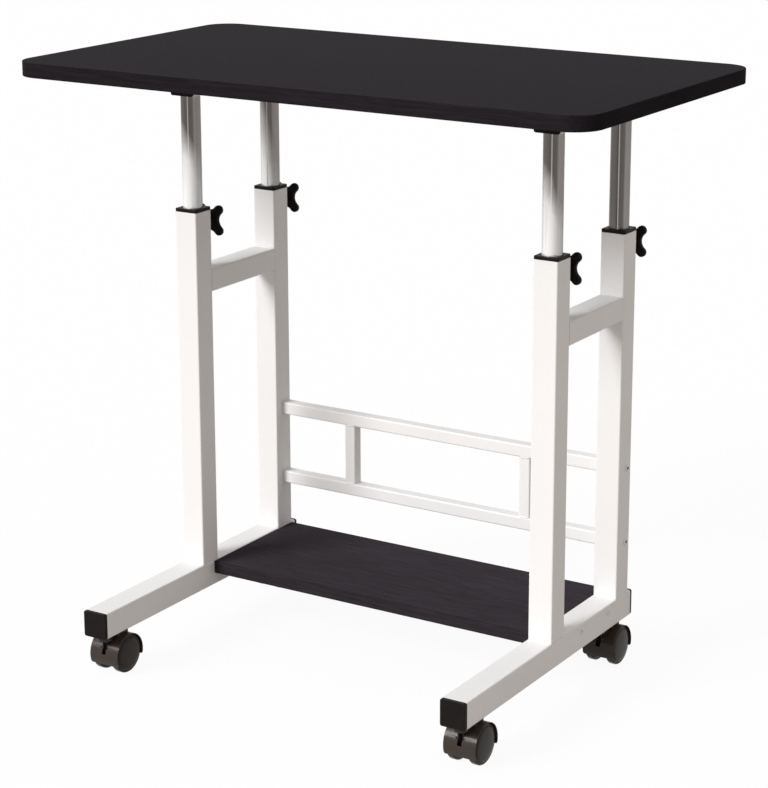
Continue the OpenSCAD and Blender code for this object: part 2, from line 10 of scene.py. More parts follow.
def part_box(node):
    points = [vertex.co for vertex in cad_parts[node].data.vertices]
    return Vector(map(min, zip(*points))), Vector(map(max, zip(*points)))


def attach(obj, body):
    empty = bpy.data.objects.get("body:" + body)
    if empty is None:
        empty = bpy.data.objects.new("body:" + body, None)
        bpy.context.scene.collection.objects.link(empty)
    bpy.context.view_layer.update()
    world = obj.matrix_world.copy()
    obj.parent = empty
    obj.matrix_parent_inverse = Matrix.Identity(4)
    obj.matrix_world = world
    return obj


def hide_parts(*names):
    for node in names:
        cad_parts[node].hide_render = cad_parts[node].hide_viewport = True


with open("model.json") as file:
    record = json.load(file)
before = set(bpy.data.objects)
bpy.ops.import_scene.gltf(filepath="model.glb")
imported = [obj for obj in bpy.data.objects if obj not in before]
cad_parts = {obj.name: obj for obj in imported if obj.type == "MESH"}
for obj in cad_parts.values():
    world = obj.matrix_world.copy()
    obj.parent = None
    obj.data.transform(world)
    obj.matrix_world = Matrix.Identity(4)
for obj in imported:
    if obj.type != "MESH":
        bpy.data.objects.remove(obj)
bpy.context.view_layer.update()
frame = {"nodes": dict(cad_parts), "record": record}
nodes = frame["nodes"]
corners = ("front_left", "front_right", "rear_left", "rear_right")
print("model loaded")


# Tools that build a material out of shader nodes

class Wire:  # a shader socket that can be used in plain sums and products
    def __init__(self, finish, socket):
        self.finish, self.socket = finish, socket

    def calc(self, operation, *others, clamp=False):
        return self.finish.node("Math", {"operation": operation, "use_clamp": clamp},
                                dict(enumerate((self, *others))))

    def __add__(self, other):
        return self.calc("ADD", other)

    def __sub__(self, other):
        return self.calc("SUBTRACT", other)

    def __mul__(self, other):
        return self.calc("MULTIPLY", other)

    def __truediv__(self, other):
        return self.calc("DIVIDE", other)

    def __rsub__(self, other):
        return self.finish.node("Math", {"operation": "SUBTRACT"}, {0: other, 1: self})

    def __rtruediv__(self, other):
        return self.finish.node("Math", {"operation": "DIVIDE"}, {0: other, 1: self})

    __radd__, __rmul__ = __add__, __mul__

    def clamped(self):
        return self.calc("MULTIPLY", 1.0, clamp=True)

    def between(self, low, high):  # 0 at low, 1 at high, held outside
        return ((self - low) / (high - low)).clamped()


class Finish:  # a material, or a world, that is built up node by node
    def __init__(self, name, world=None):
        self.owner = world or bpy.data.materials.new(name)
        self.owner.use_nodes = True
        self.tree = self.owner.node_tree
        self.tree.nodes.clear()

    def node(self, kind, settings=None, inputs=None, output=0):
        made = self.tree.nodes.new("ShaderNode" + kind)
        for key, value in (settings or {}).items():
            if key == "stops":
                for at, shade in value[1:-1]:
                    made.color_ramp.elements.new(at)
                for stop, (at, shade) in zip(made.color_ramp.elements, value):
                    stop.color = (*shade, 1)
            else:
                setattr(made, key, value)
        for key, value in (inputs or {}).items():
            slot = made.inputs[key]
            if isinstance(value, Wire):
                self.tree.links.new(value.socket, slot)
            elif isinstance(value, tuple) and len(value) == 3 and slot.type == "RGBA":
                slot.default_value = (*value, 1)
            else:
                slot.default_value = value
        return Wire(self, made.outputs[output]) if made.outputs else made

    def place(self):  # object coordinates, in metres
        return self.node("TexCoord", output="Object")

    def height(self):  # the same above the floor
        return self.node("SeparateXYZ", {}, {0: self.place()}, output="Z")

    def normal(self):
        return self.node("NewGeometry", output="Normal")

    def noise(self, size, detail=2.0, rough=0.5, stretch=None):  # size of one blotch, in metres
        at = self.place()
        if stretch:
            at = self.node("Mapping", {}, {"Vector": at, "Scale": stretch})
        return self.node("TexNoise", {}, {"Vector": at, "Scale": 1 / size, "Detail": detail,
                                          "Roughness": rough}, output="Fac")

    def mix(self, amount, first, second):
        return self.node("Mix", {"data_type": "RGBA"}, {"Factor": amount, 6: first, 7: second},
                         output=2)

    def dot(self, first, second):
        return self.node("VectorMath", {"operation": "DOT_PRODUCT"}, {0: first, 1: second},
                         output="Value")

    def softened(self, radius):  # the normal with rounded edges
        return self.node("Bevel", {"samples": 6}, {"Radius": radius})

    def edge(self, radius, sharpness=6):  # 1 on worn edges, 0 on flats
        along = self.dot(self.softened(radius), self.normal())
        return ((1 - along) * sharpness).clamped()

    def bump(self, height, strength, depth, under=None):
        inputs = {"Height": height, "Strength": strength, "Distance": depth}
        if under:
            inputs["Normal"] = under
        return self.node("Bump", {}, inputs)

    def surface(self, **sockets):
        names = {"colour": "Base Color", "roughness": "Roughness", "metallic": "Metallic",
                 "specular": "Specular IOR Level", "tint": "Specular Tint", "normal": "Normal"}
        shader = self.node("BsdfPrincipled", {}, {names[k]: v for k, v in sockets.items()})
        self.node("OutputMaterial", {}, {"Surface": shader})
        return self.owner


def scaled(colour, factor):
    return tuple(min(1, c * factor) for c in colour)


# Finishes. Lengths in them are in metres

def whiteSteel():  # satin white powder coat
    look = {"paint": (0.83, 0.823, 0.82), "cloudy": 0.955, "worn": (0.62, 0.60, 0.57),
            "gloss": 0.42, "specular": 0.4, "peel": 0.0009, "peelDepth": 0.00012,
            "cloud": 0.09, "scuff": 0.006, "edge": 0.0012, "seam": 0.0007}
    f = Finish("white_steel")
    peel = f.noise(look["peel"], 1.0)
    cloud = f.noise(look["cloud"], 4.0)
    scuff = f.noise(look["scuff"], 5.0, 0.65)
    rim = f.edge(look["edge"]) * scuff.between(0.45, 0.75)
    shade = f.mix(cloud.between(0.35, 0.75) * 0.5, look["paint"],
                  scaled(look["paint"], look["cloudy"]))
    shade = f.mix(rim * 0.35, shade, look["worn"])
    rough = look["gloss"] + (cloud - 0.5) * 0.16 + (scuff - 0.5) * 0.08
    soft = f.softened(look["seam"])
    return f.surface(colour=shade, roughness=rough, specular=look["specular"],
                     normal=f.bump(peel, 0.22, look["peelDepth"], soft))


def blackLaminate(name, tone, turns=False):  # wood-grain foil, grain along X or round the edge
    look = {"dark": scaled((0.0105, 0.0089, 0.0107), tone),
            "light": scaled((0.0218, 0.0185, 0.0221), tone), "pores": 0.6,
            "worn": (0.045, 0.042, 0.042), "gloss": 0.44, "specular": 0.0015,
            "streak": 0.0032, "pore": 0.0011, "along": 0.05, "poreAlong": 0.03,
            "cloud": 0.16, "edge": 0.0008, "wear": 0.004, "depth": 0.00009}
    f = Finish(name)

    def streaks(alongY=False):
        def stretch(along):
            return (1, along, 1) if alongY else (along, 1, 1)
        fine = f.noise(look["streak"], 6.0, 0.62, stretch=stretch(look["along"]))
        pores = f.noise(look["pore"], 3.0, 0.7, stretch=stretch(look["poreAlong"]))
        return fine, pores.between(0.56, 0.66)

    streak, pore = streaks()
    if turns:
        across = f.node("SeparateXYZ", {}, {0: f.normal()}, output="X")
        side = across.calc("ABSOLUTE").between(0.5, 0.85)
        streakY, poreY = streaks(alongY=True)
        streak = streak * (1 - side) + streakY * side
        pore = pore * (1 - side) + poreY * side
    cloud = f.noise(look["cloud"], 3.0, 0.5, stretch=(0.35, 1, 1))
    grain = streak.between(0.36, 0.68)
    shade = f.mix(grain * 0.6 + cloud.between(0.3, 0.7) * 0.4, look["dark"], look["light"])
    shade = f.mix(pore * 0.6, shade, scaled(look["dark"], look["pores"]))
    rim = f.edge(look["edge"]) * f.noise(look["wear"], 4.0).between(0.45, 0.7)
    shade = f.mix(rim * 0.3, shade, look["worn"])
    rough = look["gloss"] + (streak - 0.5) * 0.22 + (cloud - 0.5) * 0.12
    relief = grain * 0.6 - pore * 0.8
    return f.surface(colour=shade, roughness=rough, specular=look["specular"],
                     normal=f.bump(relief, 0.35, look["depth"]))


def blackPlastic(name="black_plastic", body=(0.0105, 0.0086, 0.0080), specular=0.05):
    look = {"body": body, "cloudy": 1.7, "worn": scaled(body, 5), "gloss": 0.4,
            "grain": 0.0006, "grainDepth": 0.00006, "cloud": 0.012, "edge": 0.0009}
    f = Finish(name)
    grain = f.noise(look["grain"], 2.0)
    cloud = f.noise(look["cloud"], 4.0, 0.6)
    rim = f.edge(look["edge"]) * cloud.between(0.4, 0.7)
    shade = f.mix(cloud.between(0.3, 0.75) * 0.45, look["body"],
                  scaled(look["body"], look["cloudy"]))
    shade = f.mix(rim * 0.5, shade, look["worn"])
    rough = look["gloss"] + (cloud - 0.5) * 0.2 + (grain - 0.5) * 0.12
    return f.surface(colour=shade, roughness=rough, specular=specular,
                     normal=f.bump(grain, 0.3, look["grainDepth"]))


def smokePlastic(name="smoke_plastic", specular=0.1, tone=1.0):  # brownish black glossy nylon
    look = {"body": scaled((0.027, 0.0205, 0.0162), tone), "cloudy": 1.35,
            "worn": (0.07, 0.064, 0.058), "gloss": 0.22, "cloud": 0.02, "flow": 0.004,
            "flowDepth": 0.00008, "scratch": 0.0012, "edge": 0.0008}
    f = Finish(name)
    cloud = f.noise(look["cloud"], 4.0, 0.6)
    flow = f.noise(look["flow"], 3.0, 0.6, stretch=(1, 0.35, 1))
    scratch = f.noise(look["scratch"], 2.0, 0.5, stretch=(1, 0.12, 1)).between(0.62, 0.7)
    rim = f.edge(look["edge"]) * flow.between(0.4, 0.7)
    shade = f.mix(cloud.between(0.3, 0.75) * 0.5, look["body"],
                  scaled(look["body"], look["cloudy"]))
    shade = f.mix(rim * 0.4 + scratch * 0.12, shade, look["worn"])
    rough = look["gloss"] + (cloud - 0.5) * 0.18 + scratch * 0.12 + (flow - 0.5) * 0.1
    return f.surface(colour=shade, roughness=rough, specular=specular,
                     normal=f.bump(flow, 0.2, look["flowDepth"]))


def chromeTube(name, paintedShadowFrom, paintedShadowTo, slant=0.05):
    # polished steel with painted light: low down a painted highlight on the left side and painted
    # shade on the right, and above that a painted shadow of the desk board with painted reflection
    # stripes. The painted shadow starts between two heights, and lower on the tube's right side
    look = {"bright": ((0.0, 0.97), (0.30, 0.93), (0.45, 0.86), (0.56, 0.75), (0.75, 0.62),
                       (1.0, 0.48)),
            "dull": ((0.0, 0.30), (0.08, 0.21), (0.34, 0.135), (0.38, 0.70), (0.425, 0.14),
                     (0.62, 0.16), (0.70, 0.34), (1.0, 0.31)),
            "brightTint": (1.0, 0.99, 0.985), "dullTint": (1.0, 0.93, 0.89),
            "streak": (0.2, 0.19, 0.185), "gloss": 0.2, "metal": 0.5, "specular": 0.1,
            "rim": (0.6, 0.6, 0.6), "right": (0.853, 0.522, 0.0), "polish": 0.0005,
            "polishDepth": 0.00003, "cloud": 0.03, "uneven": 0.05, "line": 0.0022}
    f = Finish(name)
    polish = f.noise(look["polish"], 3.0, 0.6, stretch=(1, 1, 0.02))
    cloud = f.noise(look["cloud"], 3.0, 0.5, stretch=(1, 1, 0.5))
    line = f.noise(look["line"], 2.0, 0.6, stretch=(1, 1, 0.02)).between(0.56, 0.68)
    across = f.dot(f.normal(), look["right"]) * 0.5 + 0.5  # 0 on the left side, 1 on the right
    height = f.height() + (cloud - 0.5) * look["uneven"]

    # colour ramps across the tube: painted highlight on the left and painted shade on the right,
    # painted reflection stripes in the painted shadow
    def shades(kind):
        stops = [(at, scaled(look[kind + "Tint"], value)) for at, value in look[kind]]
        return f.node("ValToRGB", {"stops": stops}, {0: across})

    # painted shadow of the desk board: 0 below the two heights, 1 above them
    paintedShadow = (height + (across - 0.5) * slant).between(paintedShadowFrom, paintedShadowTo)
    shade = f.mix(paintedShadow, shades("bright"), shades("dull"))
    shade = f.mix(line * 0.15, shade, look["streak"])
    rough = look["gloss"] + (cloud - 0.5) * 0.08 + line * 0.1 + paintedShadow * 0.05
    return f.surface(colour=shade, roughness=rough, metallic=look["metal"],
                     specular=look["specular"], tint=look["rim"],
                     normal=f.bump(polish, 0.12, look["polishDepth"]))


def zincSteel(name="zinc_steel", metal=(0.46, 0.45, 0.44)):  # zinc-plated fasteners
    look = {"cloudy": 0.72, "worn": 1.4, "gloss": 0.34, "metal": 0.95, "mottle": 0.003,
            "lathe": 0.0006, "latheDepth": 0.00004, "edge": 0.0005}
    f = Finish(name)
    mottle = f.noise(look["mottle"], 5.0, 0.65)
    grooves = f.noise(look["lathe"], 2.0)
    rim = f.edge(look["edge"])
    shade = f.mix(mottle.between(0.35, 0.7) * 0.5, metal, scaled(metal, look["cloudy"]))
    shade = f.mix(rim * 0.4, shade, scaled(metal, look["worn"]))
    rough = look["gloss"] + (mottle - 0.5) * 0.25
    return f.surface(colour=shade, roughness=rough, metallic=look["metal"],
                     normal=f.bump(grooves, 0.2, look["latheDepth"]))


paint = whiteSteel()
laminate = blackLaminate("black_laminate", 1.05)
# the shelf's laminate and edge band are the board's laminate and band painted lighter (tone 2.45
# and 1.9 against 1.05 and 1.1), as painted light against the shade under the desk board
shelfShadeLifted = blackLaminate("black_shelf_shade_lifted", 2.45)
bandShadeLifted = blackLaminate("black_edge", 1.9)
bandRound = blackLaminate("black_edge_round", 1.1, turns=True)
plastic = blackPlastic()
smoke = smokePlastic()
# the hood is the wheels' plastic painted 1.45 times lighter, as a painted reflection of the pale
# floor on its glossy front
hoodSmokeLifted = smokePlastic("hood_plastic", 0.17, 1.45)
# lit and shaded copies of one chrome: each tube has its own heights of painted shadow, and the
# rear right one is painted in shade from low down
chrome = {"front_left": chromeTube("chrome_tube", 0.620, 0.668),
          "front_right": chromeTube("chrome_tube_front", 0.618, 0.661),
          "rear_left": chromeTube("chrome_tube_rear", 0.560, 0.662, slant=0.12),
          "rear_right": chromeTube("chrome_tube_painted_shade", 0.450, 0.500)}
zinc = zincSteel()
darkSteel = zincSteel("dark_steel", (0.06, 0.057, 0.055))
# near black used as painted shade: inside the caster slots, on the stem pins in them, and in the
# bolts' hexagon recesses
shadeBlack = blackPlastic("painted_shade_black", body=(0.0012, 0.0011, 0.0011), specular=0.03)
print("finishes made")

finishes = {"white_steel": paint, "black_laminate": laminate, "black_edge": bandShadeLifted,
            "black_plastic": plastic, "smoke_plastic": smoke, "zinc_steel": zinc,
            "chrome_tube": chrome["front_left"]}
slots = {part["node"]: part["material_slot"] for part in frame["record"]["subparts"]}
for name, node in nodes.items():
    node.data.materials.clear()
    node.data.materials.append(finishes[slots[name]])
nodes["caster_stems"].data.materials[0] = darkSteel
for corner in corners:
    nodes["slide_tube_" + corner].data.materials[0] = chrome[corner]


# Tools for shaping pieces. Sizes are in millimetres up to where mm is multiplied in

mm = 0.001
desk = {"span": 262 * mm, "posts": (-16.8 * mm, 158.6 * mm), "stems": (-223.6 * mm, 129.4 * mm),
        "footTop": 90.7 * mm, "footHalf": 17 * mm, "postTop": 568.5 * mm, "postHalf": 16.5 * mm,
        "railBottom": 719.4 * mm, "knobHeight": 550.0 * mm}
sides = (("left", -1), ("right", 1))


def turned(axis, degrees):
    return Matrix.Rotation(math.radians(degrees), 4, axis)


def titled(corner):  # front_left becomes FrontLeft, for a piece's name
    return "".join(word.title() for word in corner.split("_"))


def middleAndSpan(low, high):  # of a node's box, in millimetres
    return ([(a + b) / 2 / mm for a, b in zip(low, high)],
            [(b - a) / mm for a, b in zip(low, high)])


class Shape:  # a piece while it is being shaped in edit mode
    def __init__(self, name, add=None, mesh=None, **how):
        bpy.ops.object.select_all(action="DESELECT")
        if add:
            add(**how)
            self.piece = bpy.context.object
        else:
            self.piece = bpy.data.objects.new(name, mesh)
            bpy.context.scene.collection.objects.link(self.piece)
            self.piece.select_set(True)
            bpy.context.view_layer.objects.active = self.piece
        self.piece.name = self.piece.data.name = name
        bpy.ops.object.transform_apply(location=True, rotation=True, scale=True)
        bpy.ops.object.mode_set(mode="EDIT")
        bpy.ops.mesh.select_all(action="DESELECT")

    def pick(self, kind, test):
        modes = {"edges": "EDGE", "faces": "FACE"}
        bpy.ops.mesh.select_mode(type=modes[kind])
        bpy.ops.mesh.select_all(action="DESELECT")
        mesh = bmesh.from_edit_mesh(self.piece.data)
        mesh.normal_update()
        for part in getattr(mesh, kind):
            if test(part):
                part.select_set(True)
        bmesh.update_edit_mesh(self.piece.data)
        return self

    def pickAll(self):
        bpy.ops.mesh.select_all(action="SELECT")
        return self

    def along(self, axis):  # edges that run along an axis
        def runs(edge):
            way = (edge.verts[1].co - edge.verts[0].co).normalized()
            return abs(way[axis]) > 0.999
        return self.pick("edges", runs)

    def facing(self, way, level=None):  # faces that look along a direction
        way = Vector(way)
        return self.pick("faces", lambda f: f.normal.dot(way) > 0.98 and (
            level is None or abs(f.calc_center_median().dot(way) - level) < 1e-5))

    def rim(self):  # from picked faces to the edges round them
        bpy.ops.mesh.region_to_loop()
        return self

    def bevel(self, width, steps=3):
        bpy.ops.mesh.bevel(offset=width, segments=steps, profile=0.5, affect="EDGES")
        return self

    def inset(self, width):
        bpy.ops.mesh.inset(thickness=width, depth=0.0, use_even_offset=True)
        return self

    def extrude(self, way):
        bpy.ops.mesh.extrude_region_move(TRANSFORM_OT_translate={"value": way})
        return self

    def done(self, smooth=38):
        self.pickAll()
        bpy.ops.mesh.remove_doubles(threshold=1e-7)
        bpy.ops.mesh.normals_make_consistent(inside=False)
        bpy.ops.object.mode_set(mode="OBJECT")
        bpy.ops.object.shade_smooth_by_angle(angle=math.radians(smooth))
        return self.piece


def lathe(name, profile, steps=48, smooth=38):  # spins (radius, height) points round Z
    mesh = bpy.data.meshes.new(name)
    mesh.from_pydata([(r * mm, 0, z * mm) for r, z in profile],
                     [(i, i + 1) for i in range(len(profile) - 1)], [])
    shape = Shape(name, mesh=mesh).pickAll()
    bpy.ops.mesh.spin(steps=steps, angle=math.tau, center=(0, 0, 0), axis=(0, 0, 1))
    return shape.done(smooth)


def rod(name, radius, low, high, steps):
    return lathe(name, [(0, low), (radius, low), (radius, high), (0, high)], steps)


def block(name, size, place, turn=0):  # a plain box, turned about Z
    return Shape(name, bpy.ops.mesh.primitive_cube_add, size=1, scale=[v * mm for v in size],
                 location=[v * mm for v in place], rotation=(0, 0, math.radians(turn)))


def slab(name, size, place, corner, soft, axis=2, steps=6):  # a plate with round corners
    shape = block(name, size, place)
    shape.along(axis).bevel(corner * mm, steps)
    way = Vector((0, 0, 0))
    way[axis] = 1
    for end in (1, -1):
        if soft:
            shape.facing(way * end).rim().bevel(soft * mm, 3)
    return shape


def plate(name, outline, thick):  # an outline of (x, y, z) points, extruded by a vector
    mesh = bpy.data.meshes.new(name)
    mesh.from_pydata([[v * mm for v in point] for point in outline], [],
                     [tuple(range(len(outline)))])
    shape = Shape(name, mesh=mesh).pickAll()
    return shape.extrude([v * mm for v in thick])


def pickOnly(piece):
    for other in bpy.context.selected_objects:
        other.select_set(False)
    piece.select_set(True)
    bpy.context.view_layer.objects.active = piece


def combine(piece, tool, how="DIFFERENCE"):  # cuts with a tool, or joins it in
    pickOnly(piece)
    step = piece.modifiers.new("shape", "BOOLEAN")
    step.operation, step.solver, step.object = how, "EXACT", tool
    bpy.ops.object.modifier_apply(modifier=step.name)
    bpy.data.objects.remove(tool, do_unlink=True)
    return piece


def moved(piece, move=(0, 0, 0), turn=None):
    piece.data.transform(Matrix.Translation(move) @ (turn or Matrix()))
    return piece


def twin(piece, name, move=(0, 0, 0), turn=None):
    other = piece.copy()
    other.data = piece.data.copy()
    other.name = other.data.name = name
    bpy.context.scene.collection.objects.link(other)
    return moved(other, move, turn)


def joined(name, parts, smooth=None):
    bpy.ops.object.select_all(action="DESELECT")
    for part in parts:
        part.select_set(True)
    bpy.context.view_layer.objects.active = parts[0]
    if len(parts) > 1:
        bpy.ops.object.join()
    parts[0].name = parts[0].data.name = name
    if smooth:
        bpy.ops.object.shade_smooth_by_angle(angle=math.radians(smooth))
    return parts[0]


def settle(piece, finish, body, *nodesReplaced, slot=None):
    piece.data.materials.clear()
    piece.data.materials.append(finish)
    for face in piece.data.polygons:
        face.material_index = 0
    pickOnly(piece)
    even = piece.modifiers.new("even", "WEIGHTED_NORMAL")  # keeps the flats flat
    even.weight, even.keep_sharp = 100, True
    bpy.ops.object.modifier_apply(modifier=even.name)
    if nodesReplaced:
        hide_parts(*nodesReplaced)
    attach(piece, body)
    return piece


def paintFaces(piece, finish, test):  # gives some faces a finish of their own
    piece.data.materials.append(finish)
    for face in piece.data.polygons:
        face.material_index = int(test(face))


def drop(*parts):
    for part in parts:
        bpy.data.objects.remove(part, do_unlink=True)


# Desk board and shelf

def makeDeskBoard():
    size = {"long": 800, "deep": 445, "thick": 18.5, "corner": 37, "cornerSteps": 24,
            "bandRound": 0.9, "bandFlat": 0.25, "coreIn": 1.2, "coreRound": 0.12, "sunk": 0.06}
    middle = middleAndSpan(*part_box("desk_edge_band"))[0]
    band = slab("deskBoardBand", (size["long"], size["deep"], size["thick"]), middle,
                size["corner"], size["bandRound"], steps=size["cornerSteps"])
    for way in ((0, 0, 1), (0, 0, -1)):
        band.facing(way).inset(size["bandFlat"] * mm)
    band.pick("faces", lambda f: abs(f.normal.z) > 0.98 and f.calc_area() > 0.1)
    bpy.ops.mesh.bridge_edge_loops()
    settle(band.done(), bandRound, "top", "desk_edge_band", slot="black_edge")
    coreSize = (size["long"] - 2 * size["coreIn"], size["deep"] - 2 * size["coreIn"],
                size["thick"] - size["sunk"])
    core = slab("deskBoardCore", coreSize, middle, size["corner"] - size["coreIn"],
                size["coreRound"], steps=size["cornerSteps"])
    settle(core.done(), laminate, "top", "desk_board", slot="black_laminate")


def makeShelf():
    size = {"corner": 0.2, "round": 0.12, "short": 0.3, "sunk": 0.06, "band": 1.0,
            "bandRound": 0.45}
    middle, span = middleAndSpan(*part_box("shelf_board"))
    shelf = slab("shelfCore", (span[0], span[1] - size["short"], span[2] - size["sunk"]), middle,
                 size["corner"], size["round"], steps=2)
    settle(shelf.done(), shelfShadeLifted, "base", "shelf_board", slot="black_laminate")
    middle, span = middleAndSpan(*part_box("shelf_edge_band"))
    strips = []
    for end in (-1, 1):
        y = middle[1] + end * (span[1] - size["band"]) / 2
        strip = slab("shelfBand", (span[0], size["band"], span[2]), (middle[0], y, middle[2]),
                     size["bandRound"], 0, axis=0)
        strips.append(strip.done())
    settle(joined("shelfBands", strips), bandShadeLifted, "base", "shelf_edge_band", slot="black_edge")


# End caps and collars

def makeCap(name, wide, high, thick, corner):  # outer face at y = 0, looking along -Y
    size = {"round": 0.5, "plugIn": 1.35, "plug": 3.4, "wall": 1.9, "hollow": 2.8}
    shape = slab(name, (wide, thick, high), (0, thick / 2, 0), corner, 0, axis=1)
    shape.facing((0, -1, 0)).rim().bevel(size["round"] * mm, 3)
    shape.facing((0, 1, 0)).inset(size["plugIn"] * mm).extrude((0, size["plug"] * mm, 0))
    shape.facing((0, 1, 0), (thick + size["plug"]) * mm).inset(size["wall"] * mm)
    return shape.extrude((0, -size["hollow"] * mm, 0)).done()


def makeCaps():
    caps = {"foot": (34, 34, 4.5, 2.6), "rail": (34, 36, 2.5, 2.6)}  # wide, high, thick, corner
    for kind, node, body in (("foot", "foot_caps", "base"), ("rail", "top_rail_caps", "top")):
        low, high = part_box(node)
        pattern = makeCap(kind + "Cap", *caps[kind])
        height = (low[2] + high[2]) / 2
        made = []
        for side, sign in sides:
            at = sign * desk["span"]
            made.append(twin(pattern, "cap", (at, low[1], height)))
            made.append(twin(pattern, "cap", (at, high[1], height), turned("Z", 180)))
        drop(pattern)
        settle(joined(kind + "Caps", made), plastic, body, node, slot="black_plastic")


def makeCollars():
    size = {"wide": 33, "lip": 4.4, "corner": 2.2, "round": 1.0, "hole": 12.8, "leadIn": 0.9,
            "sleeve": 40, "inner": 30.6, "innerCorner": 1.6, "chamfer": 1.2, "lap": 1,
            "studHole": 4.3, "past": 30}
    wide, inner, top, hole = size["wide"], size["inner"], size["lip"], size["hole"]
    lip = slab("collar", (wide, wide, top), (0, 0, top / 2), size["corner"], 0)
    lip.facing((0, 0, 1)).rim().bevel(size["round"] * mm, 2)
    lip = lip.done()
    sleeve = slab("sleeve", (inner, inner, size["sleeve"] + size["lap"]),
                  (0, 0, (size["lap"] - size["sleeve"]) / 2), size["innerCorner"], 0, steps=4)
    sleeve.facing((0, 0, -1)).rim().bevel(size["chamfer"] * mm, 1)
    collar = combine(lip, sleeve.done(), "UNION")
    mouth = hole + size["leadIn"]
    bore = lathe("bore", [(0, -60), (hole, -60), (hole, top - 0.9), (hole + 0.3, top - 0.35),
                          (mouth, top + 0.01), (mouth, top + 2), (0, top + 2)], 64)
    combine(collar, bore)
    stud = rod("stud", size["studHole"], 0, size["past"], 24)
    combine(collar, moved(stud, (0, 0, desk["knobHeight"] - desk["postTop"]), turned("X", -90)))
    made = [twin(collar, "collar", (sign * desk["span"], y, desk["postTop"]))
            for side, sign in sides for y in desk["posts"]]
    drop(collar)
    settle(joined("guideCollars", made, 35), plastic, "base", "guide_collars",
           slot="black_plastic")


# Clamp knobs

def knobOutline(angle, lobe=19.6, tip=6.2, reach=25.085, hollow=11.635):
    # distance from the axis to the outline: round lobes on the diagonals, hollows between them
    a = (angle + math.pi / 4) % (math.pi / 2) - math.pi / 4  # from the middle of a hollow
    touch = lobe / math.sqrt(2)
    share = tip / (tip + hollow)  # where the lobe's round end meets the hollow
    joint = math.atan2(touch * (1 - share), touch + (reach - touch) * share)
    if abs(a) < joint:
        c = reach * math.cos(a)
        return c - math.sqrt(c * c - (reach * reach - hollow * hollow))
    b = math.pi / 4 - abs(a)
    c = lobe * math.cos(b)
    inside = c * c - (lobe * lobe - tip * tip)
    return c + math.sqrt(max(inside, 0))


def makeKnobs():
    size = {"hub": 8.0, "hubLong": 8.4, "plate": 6.8, "round": 2.2, "collar": 9.4, "dish": 5.4,
            "dishDeep": 0.7, "stud": 4.08, "studDeep": 11.8, "points": 192}
    shape = Shape("knob", bpy.ops.mesh.primitive_circle_add, vertices=size["points"],
                  radius=20 * mm, fill_type="NGON", location=(0, 0, size["hubLong"] * mm))
    mesh = bmesh.from_edit_mesh(shape.piece.data)
    for vert in mesh.verts:
        angle = math.atan2(vert.co.y, vert.co.x)
        far = knobOutline(angle) * mm
        vert.co.x, vert.co.y = far * math.cos(angle), far * math.sin(angle)
    bmesh.update_edit_mesh(shape.piece.data)
    shape.pick("faces", lambda f: True).extrude((0, 0, size["plate"] * mm))
    shape.pickAll()
    bpy.ops.mesh.normals_make_consistent(inside=False)
    for way in ((0, 0, 1), (0, 0, -1)):
        shape.facing(way).rim().bevel(size["round"] * mm, 4)
    head = shape.done(50)
    hub, collar, dish, stud = size["hub"], size["collar"], size["dish"], size["stud"]
    combine(head, lathe("hub", [(0, 0), (hub - 0.7, 0), (hub - 0.2, 0.2), (hub, 0.7), (hub, 7.4),
                                (hub + 0.4, 8.0), (collar, 8.5), (collar, 9.6), (0, 9.6)]),
            "UNION")
    top = size["hubLong"] + size["plate"]
    low = top - size["dishDeep"]
    combine(head, lathe("dish", [(0, low), (dish, low), (dish + 0.8, top - 0.45),
                                 (dish + 1.4, top + 0.02), (dish + 1.4, top + 3), (0, top + 3)]))
    combine(head, lathe("bore", [(0, -2), (stud + 0.4, -2), (stud + 0.4, 0), (stud, 0.5),
                                 (stud, size["studDeep"]), (0, size["studDeep"])], 32))
    head = joined("knob", [head], 40)
    for corner in corners:
        node = "knob_" + corner
        low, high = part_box(node)
        place = ((low[0] + high[0]) / 2, low[1], desk["knobHeight"])
        settle(twin(head, "clampKnob" + titled(corner), place, turned("X", -90)), plastic,
               "clamp_" + corner, node, slot="black_plastic")
    drop(head)


# Casters, made with the stem on the Z axis and the floor at height zero

caster = {"trail": 22.3, "axle": 25.3, "axleRadius": 3.06, "hood": 26.8, "hoodInner": 25.7,
          "half": 21.9, "front": 14.0, "rear": 17.0, "endRound": 4, "web": 8.7,
          "webFront": 16.3, "webRear": 31.3, "webLow": 19.3, "neck": 10.0, "neckLow": 47.4,
          "neckTop": 52.4, "socket": 4.1, "pin": 3.06, "slot": (3.0, 2.4), "slotLow": 28.8,
          "wheel": 25.3, "wheelWide": 12.6, "gap": 9.0}


def hoodArc(radius):  # the angles at which the hood's lower ends lie, seen from the axle
    c = caster
    return (math.asin((c["front"] - c["axle"]) / radius),
            math.pi - math.asin((c["rear"] - c["axle"]) / radius))


def makeFender():  # the curved shell over both wheels, swept round the axle
    c = caster
    outer, inner, half = c["hood"], c["hoodInner"], c["half"]
    section = [(-half, inner + 0.25), (-half, outer - 0.45), (-half + 0.2, outer - 0.12),
               (-half + 0.6, outer), (half - 0.6, outer), (half - 0.2, outer - 0.12),
               (half, outer - 0.45), (half, inner + 0.25), (half - 0.25, inner),
               (-half + 0.25, inner)]
    start, finish = hoodArc(outer)
    mesh = bpy.data.meshes.new("fender")
    mesh.from_pydata([(x * mm, (c["trail"] - r * math.cos(start)) * mm,
                       (c["axle"] + r * math.sin(start)) * mm) for x, r in section],
                     [], [tuple(range(len(section)))])
    shape = Shape("fender", mesh=mesh).pickAll()
    bpy.ops.mesh.spin(steps=72, angle=finish - start, axis=(1, 0, 0),
                      center=(0, c["trail"] * mm, c["axle"] * mm))
    return shape.done(40)


